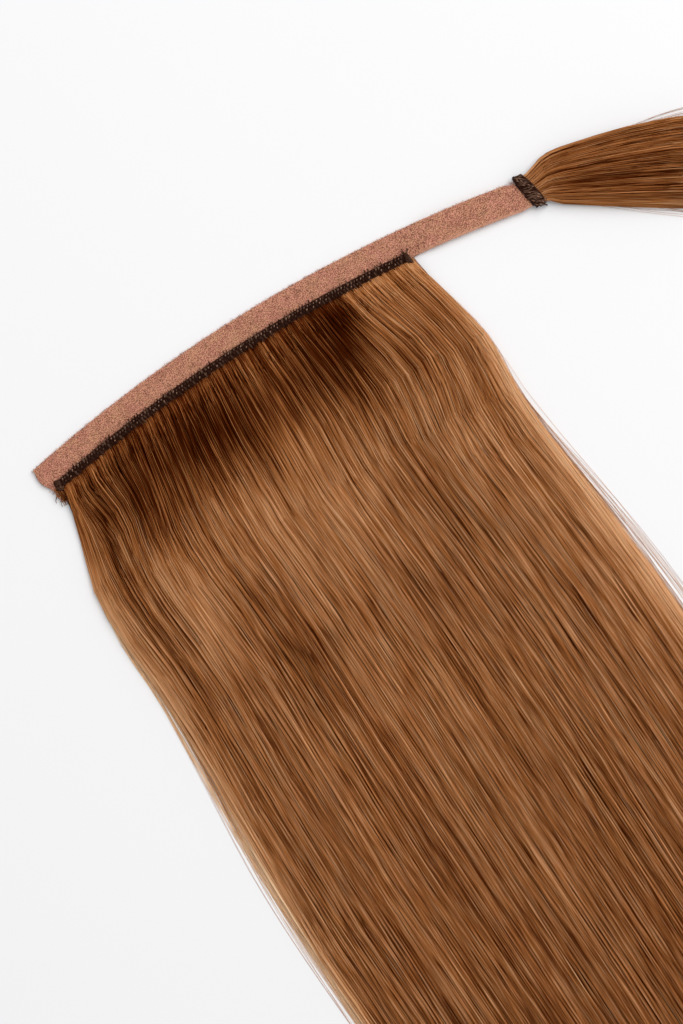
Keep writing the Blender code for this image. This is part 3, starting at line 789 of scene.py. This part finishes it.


# The rows with tones well past 1 are pale hairs along the rim: painted highlight.
CURTAIN_WISPS = (
    Wisp(1.0, 12, 0.080, 0.200, 0.0006, 0.0054, 0.72, 0.000050, 0.74, 0.44),
    Wisp(1.0, 12, 0.00, 0.06, 0.0002, 0.0014, 0.90, 0.000040, 0.80, 0.45),
    Wisp(1.0, 60, 0.04, 0.30, -0.0020, 0.0003, 0.85, 0.000085, 1.10, 0.65),
    Wisp(1.0, 14, 0.07, 0.16, -0.0012, 0.0004, 0.85, 0.000120, 1.60, 1.20),
    Wisp(0.0, 14, 0.08, 0.26, 0.0004, 0.0034, 0.75, 0.000048, 0.74, 0.44),
    Wisp(0.0, 16, 0.09, 0.13, 0.0006, 0.0028, 0.55, 0.000090, 2.40, 1.90),
    Wisp(0.0, 60, 0.03, 0.30, -0.0016, 0.0004, 0.85, 0.000085, 1.90, 1.20),
    Wisp(0.0, 22, 0.09, 0.18, -0.0014, 0.0006, 0.85, 0.000130, 2.20, 1.70),
    Wisp(0.0, 3, 0.10, 0.22, 0.0026, 0.0040, 0.75, 0.000038, 0.60, 0.40),
    Wisp(1.0, 3, 0.09, 0.20, 0.0050, 0.0066, 0.80, 0.000038, 0.60, 0.40),
)
stray_hairs("hair_flyaways", "hair_curtain", CURTAIN_WISPS, curtain_mat, seed=5)

# Short curled hair ends hang at the weft's left corner, below its knot.
TUFT = (90, 1)  # hairs
TUFT_MIDDLE = (-0.0684, -0.0096)
draw = np.random.default_rng(31)
share = np.linspace(0, 1, 9)[None, :]
tuft_length = draw.uniform(0.0022, 0.0066, TUFT)
tuft_x = TUFT_MIDDLE[0] + draw.normal(0, 0.00075, TUFT)
curl = draw.uniform(-1, 1, TUFT) * 0.0009 * np.sin(share * draw.uniform(2.5, 6.0, TUFT))
tuft_lean = draw.normal(-0.0002, 0.0007, TUFT) * share
tuft_height = 0.0022 - 0.0016 * share + draw.uniform(0, 0.0008, TUFT) * share
tuft_paths = np.stack(np.broadcast_arrays(
    tuft_x + curl + tuft_lean, TUFT_MIDDLE[1] - tuft_length * share, tuft_height
), axis=-1)
hairs("hair_corner_tuft", "hair_curtain", tuft_paths, 0.00009,
      draw.uniform(0.10, 0.55, TUFT), tuft_paths * LOOSE_FLOW)

# Weft
# A machine-made weft: the hairs' folded roots, overlocked in two rows with dark thread, and
# stitched to the tape's lower edge. Each stitch shows as a tooth on both sides of a seam.
WEFT_HIGH = -0.00275  # across the tape
WEFT_LOW = -0.00625
WEFT_SEAM = -0.00425
WEFT_TOP = 0.0029
TOOTH_LEAN = 0.00030
TOOTH_RADIUS = 0.00025
thread_finish, thread_inputs, thread_start = new_finish(
    "dark_thread", roughness=0.5, gloss=0.15, tint=rgb(230, 190, 170)
)
thread_tone = thread_start.read("tone")
thread_twist = grain(thread_start, 0.00022, detail=2.0)
thread_start.feed(
    thread_inputs["Base Color"],
    (thread_tone + (thread_twist - 0.5) * 0.5).between(rgb(38, 12, 4), rgb(158, 122, 100)),
)
thread_twist.bump(thread_inputs, 0.5, 0.0001)

WEFT_LEFT_END = -0.0696
WEFT_RIGHT_END = 0.0690
band_along = np.linspace(WEFT_LEFT_END, WEFT_RIGHT_END, 240)
band_profile = np.array([
    (0.00, 0.20), (0.03, 0.62), (0.12, 0.86), (0.28, 0.92), (0.42, 0.76), (0.50, 0.70),
    (0.58, 0.76), (0.74, 0.92), (0.90, 0.84), (0.97, 0.60), (1.00, 0.20), (0.95, 0.0),
    (0.5, 0.0), (0.05, 0.0),
])
band_across = WEFT_LOW + (WEFT_HIGH - WEFT_LOW) * (
    0.5 + (band_profile[None, :, 0] - 0.5) * 0.92
)
band_base = 0.00175
band_up = band_base + (WEFT_TOP - 0.0003 - band_base) * band_profile[None, :, 1]
band = ring_body(
    "weft_band", beside_tape(band_along[:, None], band_across, band_up)[::-1], thread_finish,
)
stand_in("weft_track")

stitch_along = np.arange(WEFT_LEFT_END + 0.0004, WEFT_RIGHT_END - 0.0004, STITCH)
stitch_along = stitch_along + rng.normal(0, 0.00012, len(stitch_along))


def on_weft(along, across, up):
    """Beside the tape, where the machine's seam wanders a little."""
    wander = 0.00012 * np.sin(along / 0.0047 + 1.0) + 0.00010 * np.sin(along / 0.0021)
    return beside_tape(along, across + wander, up)


def thread(name, node, paths, radius, tone, sides=6):
    piece = tubes(name, paths, radius, tone, thread_finish, sides=sides)
    stand_in(node)


def teeth(name, places, outer, reach, drop, shade):
    """A row of short thick stitches, each from the seam out over one side of the band."""
    share = np.linspace(0, 1, 7)[None, :]
    jitter = rng.normal(0, 1, (len(places), 3))
    along = places[:, None] + TOOTH_LEAN * share + 0.00005 * jitter[:, :1]
    reach = reach + 0.22 * np.clip(jitter[:, 1:2], -1.6, 1.6)
    across = WEFT_SEAM + (outer - WEFT_SEAM) * share * reach
    up = WEFT_TOP + 0.00012 * np.sin(math.pi * share) - drop * share ** 4
    thick = TOOTH_RADIUS * (0.70 + 0.45 * np.sin(math.pi * np.clip(share * 1.1, 0, 1)))
    thick = thick * (1 + 0.10 * jitter[:, 2:])
    tone = rng.uniform(-0.15, 0.32, (len(places), 1)) + shade
    thread(name, "weft_track", on_weft(along, across, up), thick, tone)


teeth("weft_upper_stitches", stitch_along, WEFT_HIGH, reach=1.15, drop=0.00085, shade=0.0)
teeth("weft_lower_stitches", stitch_along + STITCH / 2, WEFT_LOW, reach=0.96, drop=0.00100,
      shade=-0.12)


def knots(name, node, place, places, across, radius, lean, top, tones):
    """A row of small loops of thread, where the stitches lock into each other; their light tones
    are painted glints.
    """
    share = np.linspace(-0.5, 0.5, 5)[None, :]
    jitter = rng.normal(0, 0.00007, (len(places), 2))
    along = places[:, None] + share * 0.00050 + jitter[:, :1]
    side = across + lean * share + jitter[:, 1:]
    up = top + 0.00014 * np.cos(math.pi * share)
    thick = radius * (0.5 + 0.6 * np.cos(math.pi * share))
    thick = thick * rng.uniform(0.7, 1.2, (len(places), 1))
    tone = tones[0] + (tones[1] - tones[0]) * rng.random((len(places), 1)) ** 1.5
    thread(name, node, place(along, side, up), thick, tone)


# Their tones reach up into painted glints.
knots("weft_upper_knots", "weft_track", on_weft, stitch_along + STITCH * 0.25, -0.0037,
      radius=0.00016, lean=0.0005, top=WEFT_TOP + 0.0001, tones=(0.05, 1.10))
knots("weft_lower_knots", "weft_track", on_weft, stitch_along[::2] + STITCH * 0.75, -0.0048,
      radius=0.00017, lean=0.0005, top=WEFT_TOP + 0.0001, tones=(0.05, 1.20))


def tangle(name, count, middle, size, radius, seed):
    """Thread ends knotted together: short arcs lying at random over a low mound."""
    draw = np.random.default_rng(seed)
    turn = draw.uniform(0, 2 * math.pi, (count, 1)) + np.linspace(-0.9, 0.9, 8)[None, :]
    tilt = draw.uniform(0.15, 1.0, (count, 1))
    heading = draw.uniform(0, math.pi, (count, 1))
    level = np.cos(turn) * tilt
    beside = np.sin(turn) * np.sqrt(1.0 - 0.6 * tilt ** 2)
    along = middle[0] + size[0] * (level * np.cos(heading) - beside * np.sin(heading))
    across = middle[1] + size[1] * (level * np.sin(heading) + beside * np.cos(heading))
    up = middle[2] + size[2] * np.sqrt(np.clip(1 - level ** 2 - 0.7 * beside ** 2, 0.0, 1))
    thread(name, "weft_track", beside_tape(along, across, up),
           radius * draw.uniform(0.7, 1.2, (count, 1)),
           draw.uniform(-0.08, 0.24, (count, 1)), sides=5)


tangle("weft_left_knot", 34, middle=(-0.0688, -0.0044, 0.0022), size=(0.0012, 0.0020, 0.0009),
       radius=0.00024, seed=71)
tangle("weft_right_knot", 22, middle=(0.0686, -0.0046, 0.0022), size=(0.0009, 0.0017, 0.0009),
       radius=0.00023, seed=72)

# Loose thread ends at the right: two stand up over the tape, the rest run down beside the hair.
loose_share = np.linspace(0, 1, 8)[None, :]
LOOSE_ENDS = (  # start along and across, end along and across, metres
    (0.0684, -0.0034, 0.0676, -0.0014), (0.0685, -0.0034, 0.0679, -0.0010),
    (0.0687, -0.0032, 0.0700, -0.0018), (0.0688, -0.0033, 0.0697, -0.0014),
    (0.0686, -0.0046, 0.0706, -0.0078), (0.0688, -0.0044, 0.0704, -0.0070),
    (0.0685, -0.0052, 0.0700, -0.0074), (0.0690, -0.0048, 0.0702, -0.0060),
)
starts, ends = np.split(np.array(LOOSE_ENDS)[:, :, None], 2, axis=1)
bend = rng.normal(0, 0.00018, (len(ends), 1)) * np.sin(math.pi * loose_share)
places = starts + (ends - starts) * loose_share + bend[:, None, :]
thread(
    "weft_loose_ends", "weft_track",
    beside_tape(places[:, 0], places[:, 1], 0.0030 - 0.0009 * loose_share),
    0.00026 * (1 - 0.55 * loose_share), rng.uniform(0.0, 0.3, (len(ends), 1)), sides=5,
)

# Hook pad
# The hook half of the closure: a plain moulded strip under the tail, which grips the loops
# when the tape is wound round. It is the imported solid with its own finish.
hook_finish, hook_inputs, hook_start = new_finish("hook_strip", roughness=0.55)
hook_rows = grain(hook_start, 0.0006, detail=0.0)
hook_start.feed(hook_inputs["Base Color"], hook_rows.between(rgb(138, 88, 68), rgb(170, 116, 92)))
hook_rows.bump(hook_inputs, 0.8, 0.0003)
hook_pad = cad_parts["hook_pad"]
hook_pad.data.materials.clear()
hook_pad.data.materials.append(hook_finish)

# Lock binding
# Dark thread wound many times round the tape's end and the root of the wrap lock, on a slant,
# oversewn with short stitches and fastened off in small loops at its lower end.
TAPE_END = 0.1140
BOUND_DEPTH = 0.0016
BINDING_REACH = 0.0021
BINDING_HALF = 0.0059
BINDING_SIDE = 0.0008
BINDING_RISE = 0.0019
BINDING_MIDDLE = TAIL_LIFT + BOUND_DEPTH / 2
THREAD = 0.00026
tape_turn = -TAPE_END / TAPE_BEND
tape_end = beside_tape(TAPE_END, 0.0, 0.0)


def at_tape_end(x, y, z):
    """Points given in the frame of the tape's end: x along it, y across it."""
    x, y, z = np.broadcast_arrays(x, y, z)
    return np.stack([
        tape_end[0] + x * math.cos(tape_turn) - y * math.sin(tape_turn),
        tape_end[1] + x * math.sin(tape_turn) + y * math.cos(tape_turn), z,
    ], axis=-1)


def round_binding(turn, grow):
    """Across and up at a turn round the binding's flattened section."""
    side, top = np.cos(turn), np.sin(turn)
    across = np.sign(side) * np.abs(side) ** 0.75 * (BINDING_HALF + grow)
    up = np.sign(top) * np.abs(top) ** 0.75 * (BINDING_RISE + grow)
    return BINDING_SIDE + across, BINDING_MIDDLE + up


def pinched(across):
    """The binding draws in to rounded ends."""
    return 1 - 0.34 * np.clip(np.abs(across - BINDING_SIDE) / BINDING_HALF, 0, 1) ** 5


turn = np.linspace(0, 2 * math.pi, 41)[:-1]
sleeve_along = np.linspace(-BINDING_REACH, BINDING_REACH, 9)[:, None]
sleeve_across, sleeve_up = round_binding(turn[None, :], -0.0004)
sleeve = ring_body(
    "binding_sleeve",
    at_tape_end(sleeve_along * pinched(sleeve_across) - sleeve_across * SLANT, sleeve_across,
                sleeve_up),
    thread_finish,
)
stand_in("lock_binding")
WINDINGS = 9
number = np.arange(WINDINGS)[:, None]
turn = np.linspace(0, 2 * math.pi, 40)[None, :]
wobble = rng.normal(0, 0.00012, (WINDINGS, 2))
wound_across, wound_up = round_binding(turn, -0.00022 + wobble[:, :1] * np.sin(turn + number))
wound_along = -BINDING_REACH + 2 * BINDING_REACH * (number + 0.5) / WINDINGS
wound_along = wound_along + wobble[:, 1:] * 2 * np.sin(turn * 1.5 + number)
thread("binding_windings", "lock_binding",
       at_tape_end(wound_along * pinched(wound_across) - wound_across * SLANT, wound_across,
                   wound_up),
       THREAD, rng.uniform(-0.10, 0.10, (WINDINGS, 1)), sides=5)


def over_binding(along, across, up):
    """Points over the binding's top: along runs down its length, across from side to side."""
    across_tape = BINDING_SIDE - along
    bulge = np.clip(np.abs(along) / (BINDING_HALF + 0.0002), 0, 1)
    sink = BINDING_RISE * (1 - np.sqrt(1 - bulge ** 2.6) ** 0.8)
    return at_tape_end(across * pinched(across_tape) - across_tape * SLANT, across_tape, up - sink)


binding_top = BINDING_MIDDLE + BINDING_RISE
CROSS = (34, 1)  # short stitches over the windings
draw = np.random.default_rng(64)
share = np.linspace(0, 1, 9)[None, :]
cross_places = np.linspace(-BINDING_HALF + 0.0003, BINDING_HALF, CROSS[0])[:, None]
cross_tilt = draw.normal(0.0003, 0.0006, CROSS)
half_width = BINDING_REACH * (1.04 + 0.14 * cross_places / BINDING_HALF)
reach = draw.uniform(0.85, 1.12, (CROSS[0], 2))
low, high = -half_width * reach[:, :1], half_width * reach[:, 1:]
cross_bow = 0.0003 * np.sin(math.pi * share) * draw.normal(0, 1, CROSS)
cross_up = binding_top + 0.00010 + draw.uniform(0, 0.00025, CROSS)
cross_up = cross_up - 0.0013 * np.abs(2 * share - 1) ** 4
# The stitches' tones vary at random and reach up into painted highlight.
thread(
    "binding_stitches", "lock_binding",
    over_binding(cross_places + cross_tilt * (2 * share - 1) + cross_bow,
                 low + (high - low) * share, cross_up),
    0.00022 * draw.uniform(0.7, 1.25, CROSS), draw.uniform(-0.10, 0.44, CROSS),
)
BINDING_KNOTS = 30
knot_places = draw.uniform(-BINDING_HALF + 0.0006, BINDING_HALF, BINDING_KNOTS)
# These knots' light tones are painted glints.
knots("binding_knots", "lock_binding", over_binding, knot_places,
      draw.uniform(-0.0015, 0.0018, (BINDING_KNOTS, 1)), radius=0.00013, lean=0.0006,
      top=binding_top + 0.0004, tones=(0.25, 1.25))
# Small open loops of the thread, fastened off at the binding's lower end.
loop_turn = np.linspace(0.2, 2 * math.pi - 0.6, 12)[None, :]
loop_middle = np.array([[0.0051, 0.0016], [0.0056, 0.0007], [0.0049, 0.0024], [0.0058, -0.0004]])
thread(
    "binding_loops", "lock_binding",
    over_binding(loop_middle[:, :1] + 0.00055 * np.cos(loop_turn),
                 loop_middle[:, 1:] + 0.00045 * np.sin(loop_turn),
                 binding_top + 0.0003 + 0 * loop_turn),
    0.00014, np.array([[0.25], [0.10], [0.40], [0.05]]), sides=5,
)

# Wrap lock
# A small lock of the same hair, wound round the finished ponytail to hide the tape. Its root
# lies in the binding, and it fans out over the table from there.
WRAP_LENGTH = 0.200
WRAP_WIDTH = 0.0330
WRAP_DEPTH = 0.0070
WRAP_TURN = math.radians(-38.0)
BOUND_HALF = 0.0050
WRAP = (
    Section(0.000, 0.45, 0.28, 0.40, 1.00, 0.00),
    Section(0.020, 0.57, 0.30, 0.58, 0.80, 0.02),
    Section(0.050, 0.66, 0.43, 0.78, 0.35, 0.08),
    Section(0.100, 0.72, 0.61, 0.95, 0.00, 0.18),
    Section(0.160, 0.80, 0.76, 1.00, 0.00, 0.28),
    Section(0.225, 0.88, 0.87, 0.96, 0.00, 0.36),
    Section(0.300, 0.95, 0.95, 0.88, 0.00, 0.44),
    Section(0.400, 1.00, 1.00, 0.78, 0.00, 0.54),
    Section(0.600, 0.96, 0.96, 0.64, 0.00, 0.72),
    Section(0.800, 0.76, 0.76, 0.48, 0.00, 0.88),
    Section(1.000, 0.46, 0.46, 0.24, 0.00, 1.00),
)
line_share = np.linspace(0, 1, 401)
line_heading = WRAP_TURN * column(WRAP, "turn", (line_share[1:] + line_share[:-1]) / 2)
line_step = WRAP_LENGTH / 400
line_x, line_y = [np.concatenate([[0.0], np.cumsum(way(line_heading)) * line_step])
                  for way in (np.cos, np.sin)]


def wrap_free(row):
    return ease(0.004, 0.042, row)


def wrap_place(share, row, height):
    heading = WRAP_TURN * column(WRAP, "turn", row)
    left = column(WRAP, "left", row) * WRAP_WIDTH / 2
    right = column(WRAP, "right", row) * WRAP_WIDTH / 2
    bound = BINDING_SIDE + BOUND_HALF * (1 - 2 * share)
    across = bound + wrap_free(row) * (left - share * (left + right) - bound)
    x = np.interp(row, line_share, line_x) - np.sin(heading) * across
    x = x - (1 - wrap_free(row)) * across * SLANT
    y = np.interp(row, line_share, line_y) + np.cos(heading) * across
    return at_tape_end(x, y, height)


def wrap_lift(row):
    return TAIL_LIFT * (1 - wrap_free(row) * (1 - np.maximum(column(WRAP, "lift", row), 0.0)))


def wrap_depth(share, row):
    depth = rounded(WRAP_DEPTH * column(WRAP, "depth", row), share, 3.5)
    return BOUND_DEPTH + wrap_free(row) * (depth - BOUND_DEPTH)


def wrap_tone(points, share, row):
    """The lock is darker than the curtain, with lighter hairs at its root and painted highlight
    along both sides.
    """
    low_side = np.exp(-((1 - share) / 0.05) ** 2)
    high_side = np.exp(-(share / 0.04) ** 2)
    return 0.12 * low_side + 0.12 * high_side + 0.22 * np.exp(-(row / 0.035) ** 2) - 0.12


wrap_mat = Mat(
    seed=23, width=WRAP_WIDTH, length=WRAP_LENGTH, bundles=14, locks=7, parting=0.86,
    waves=0.00010, waver=0.00030, start=0.0024, rise=0.010, root=lambda home: home,
    place=wrap_place, lift=wrap_lift, depth=wrap_depth, tone=wrap_tone,
)
hair_core("wrap_lock_core", "wrap_lock", wrap_mat, shares=(0.02, 0.98, 36),
          near=(0.004, 0.1, 18), far=(0.1, 0.92, 22), sunk=0.0012, least=0.0003, base=0.20,
          shading=0.0)
WRAP_STOPS = (0.0008, 0.0024, 0.0045, 0.007, 0.010, 0.014, 0.019, 0.026, 0.036, 0.050, 0.070,
              0.095, 0.125, 0.160, 0.185, 0.200)
WRAP_LAYERS = (
    Layer("wrap_lock_lower_layer", 420, 0.00060, 0.00060, 0.000140, 0.15),
    Layer("wrap_lock_top_layer", 800, 0.00000, 0.00060, 0.000080, 0.25),
)
hair_layers("wrap_lock", WRAP_LAYERS, WRAP_STOPS, wrap_mat, seed=60)
WRAP_WISPS = (
    Wisp(0.0, 7, 0.12, 0.22, 0.0010, 0.0052, 0.90, 0.000045, 0.62, 0.36),
    Wisp(1.0, 6, 0.08, 0.22, 0.0008, 0.0046, 0.70, 0.000042, 0.62, 0.40),
    Wisp(0.0, 24, 0.10, 0.30, -0.0012, 0.0002, 0.85, 0.000080, 1.00, 0.55),
    Wisp(1.0, 24, 0.10, 0.30, -0.0012, 0.0002, 0.85, 0.000080, 1.10, 0.60),
)
stray_hairs("wrap_lock_flyaways", "wrap_lock", WRAP_WISPS, wrap_mat, seed=6)
